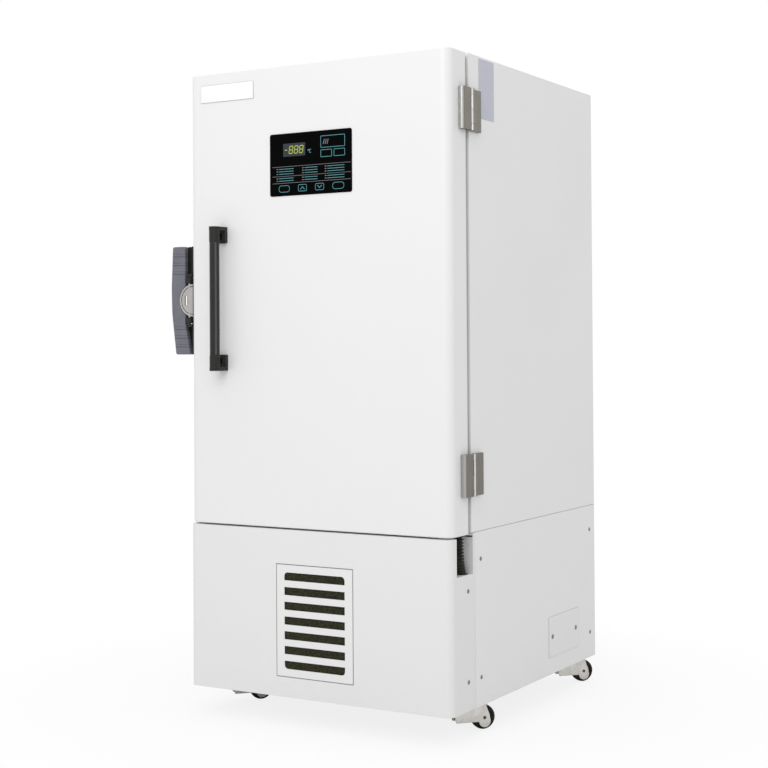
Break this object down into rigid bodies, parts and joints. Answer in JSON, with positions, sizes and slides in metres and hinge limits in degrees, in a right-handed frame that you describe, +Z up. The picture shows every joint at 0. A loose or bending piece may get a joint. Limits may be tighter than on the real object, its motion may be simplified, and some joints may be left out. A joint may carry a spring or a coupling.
{
  "type": "upright ultra low temperature freezer",
  "caption": "Upright laboratory freezer: insulated cabinet with hinged door, inner doors, shelves, side latch, control panel, vented machine base and swivel casters.",
  "frame": {"origin": "on the floor under the middle of the freezer's box", "axes": "+X to the right as seen from the front, +Y to the back, +Z up"},
  "size_m": [0.8932, 0.959, 1.725],
  "materials": {
    "white_steel": "smooth white powder coat",
    "grey_steel": "zinc-grey coated sheet",
    "dark_steel": "black stoved enamel",
    "liner_steel": "satin stainless sheet",
    "shelf_steel": "satin stainless sheet",
    "hinge_steel": "brushed stainless",
    "zinc_steel": "bright zinc plate",
    "copper": "drawn copper tube",
    "foam": "rigid polyurethane foam",
    "white_plastic": "moulded white ABS",
    "gasket_rubber": "grey-white magnetic gasket",
    "black_plastic": "black glass-filled nylon",
    "grey_plastic": "blue-grey moulded nylon",
    "panel_black": "black glossy overlay",
    "board_green": "green circuit board",
    "plate_white": "bare white plate",
    "label_film": "pale printed film, left bare",
    "conduit_black": "black corrugated nylon",
    "filter_foam": "dark open-cell filter",
    "fin_metal": "aluminium fins",
    "black_rubber": "moulded rubber",
    "tread_black": "black polyurethane wheel",
    "screw_steel": "zinc-plated screw",
    "battery_grey": "moulded battery case"
  },
  "bodies": {
    "cabinet": {"cabinet_shell": "white_steel", "cabinet_back": "grey_steel", "cabinet_foam": "foam", "inner_liner": "liner_steel", "opening_collar": "white_plastic", "evaporator_coil": "copper", "shelves": "shelf_steel", "shelf_rails": "shelf_steel", "inner_door_brackets": "hinge_steel", "access_port_plug": "black_rubber", "hinge_leaves_cabinet": "hinge_steel", "latch_striker": "zinc_steel", "side_label": "label_film", "base_frame": "grey_steel", "base_front_cover": "white_steel", "base_side_panels": "white_steel", "base_back_grille": "grey_steel", "screws": "screw_steel", "filter_pad": "filter_foam", "service_plate": "white_steel", "flex_conduit": "conduit_black", "compressor_high_stage": "dark_steel", "compressor_low_stage": "dark_steel", "compressor_feet": "black_rubber", "condenser": "fin_metal", "fan_shroud": "grey_steel", "fan_motor": "dark_steel", "cascade_exchanger": "black_rubber", "filter_drier": "copper", "refrigerant_pipes": "copper", "control_box": "grey_steel", "backup_battery": "battery_grey", "mains_inlet": "black_plastic", "caster_plates": "zinc_steel"},
    "door": {"door_skin": "white_steel", "door_foam": "foam", "door_inner_panel": "white_plastic", "door_gasket": "gasket_rubber", "handle_tube": "black_plastic", "handle_brackets": "black_plastic", "name_plate": "plate_white", "control_panel": "panel_black", "control_board": "board_green", "latch_housing": "black_plastic", "latch_plate": "zinc_steel", "hinge_leaves_door": "hinge_steel"},
    "lever": {"latch_lever": "grey_plastic", "latch_yoke": "dark_steel"},
    "lower_inner_door": {"inner_door_lower": "white_plastic"},
    "upper_inner_door": {"inner_door_upper": "white_plastic"},
    "fan": {"fan_blade": "black_plastic"},
    "grille": {"filter_grille": "white_steel"},
    "fork_front_left": {"caster_fork_front_left": "zinc_steel"},
    "wheel_front_left": {"caster_wheel_front_left": "tread_black"},
    "fork_front_right": {"caster_fork_front_right": "zinc_steel"},
    "wheel_front_right": {"caster_wheel_front_right": "tread_black"},
    "fork_rear_left": {"caster_fork_rear_left": "zinc_steel"},
    "wheel_rear_left": {"caster_wheel_rear_left": "tread_black"},
    "fork_rear_right": {"caster_fork_rear_right": "zinc_steel"},
    "wheel_rear_right": {"caster_wheel_rear_right": "tread_black"}
  },
  "joints": [
    {"name": "door_hinge", "type": "hinge", "parent": "cabinet", "child": "door", "pos_m": [0.44085, -0.3245, 1.122], "axis": [0, 0, 1], "range_deg": [0, 120]},
    {"name": "latch_pull", "type": "hinge", "parent": "door", "child": "lever", "pos_m": [-0.38365, -0.4115, 1.115], "axis": [0, 0, 1], "range_deg": [0, 70]},
    {"name": "lower_inner_door_hinge", "type": "hinge", "parent": "cabinet", "child": "lower_inner_door", "pos_m": [0.29635, -0.3045, 0.86], "axis": [0, 0, 1], "range_deg": [0, 90]},
    {"name": "upper_inner_door_hinge", "type": "hinge", "parent": "cabinet", "child": "upper_inner_door", "pos_m": [0.29635, -0.3045, 1.36], "axis": [0, 0, 1], "range_deg": [0, 90]},
    {"name": "fan_spin", "type": "hinge", "parent": "cabinet", "child": "fan", "pos_m": [0.02835, -0.3035, 0.228], "axis": [0, 1, 0], "continuous": true},
    {"name": "grille_pull", "type": "slide", "parent": "cabinet", "child": "grille", "axis": [0, -1, 0], "range_m": [0, 0.06]},
    {"name": "swivel_front_left", "type": "hinge", "parent": "cabinet", "child": "fork_front_left", "pos_m": [-0.31965, -0.2255, 0.067], "axis": [0, 0, 1], "continuous": true},
    {"name": "roll_front_left", "type": "hinge", "parent": "fork_front_left", "child": "wheel_front_left", "pos_m": [-0.29938, -0.20338, 0.0315], "axis": [-0.7373, 0.6756, 0], "continuous": true},
    {"name": "swivel_front_right", "type": "hinge", "parent": "cabinet", "child": "fork_front_right", "pos_m": [0.37635, -0.2255, 0.067], "axis": [0, 0, 1], "continuous": true},
    {"name": "roll_front_right", "type": "hinge", "parent": "fork_front_right", "child": "wheel_front_right", "pos_m": [0.39662, -0.20338, 0.0315], "axis": [-0.7373, 0.6756, 0], "continuous": true},
    {"name": "swivel_rear_left", "type": "hinge", "parent": "cabinet", "child": "fork_rear_left", "pos_m": [-0.31965, 0.4195, 0.067], "axis": [0, 0, 1], "continuous": true},
    {"name": "roll_rear_left", "type": "hinge", "parent": "fork_rear_left", "child": "wheel_rear_left", "pos_m": [-0.29938, 0.44162, 0.0315], "axis": [-0.7373, 0.6756, 0], "continuous": true},
    {"name": "swivel_rear_right", "type": "hinge", "parent": "cabinet", "child": "fork_rear_right", "pos_m": [0.37635, 0.4195, 0.067], "axis": [0, 0, 1], "continuous": true},
    {"name": "roll_rear_right", "type": "hinge", "parent": "fork_rear_right", "child": "wheel_rear_right", "pos_m": [0.39662, 0.44162, 0.0315], "axis": [-0.7373, 0.6756, 0], "continuous": true}
  ],
  "couplings": [
    {"joint": "lower_inner_door_hinge", "follows": "door_hinge", "ratio": 0.75},
    {"joint": "upper_inner_door_hinge", "follows": "door_hinge", "ratio": 0.75}
  ]
}
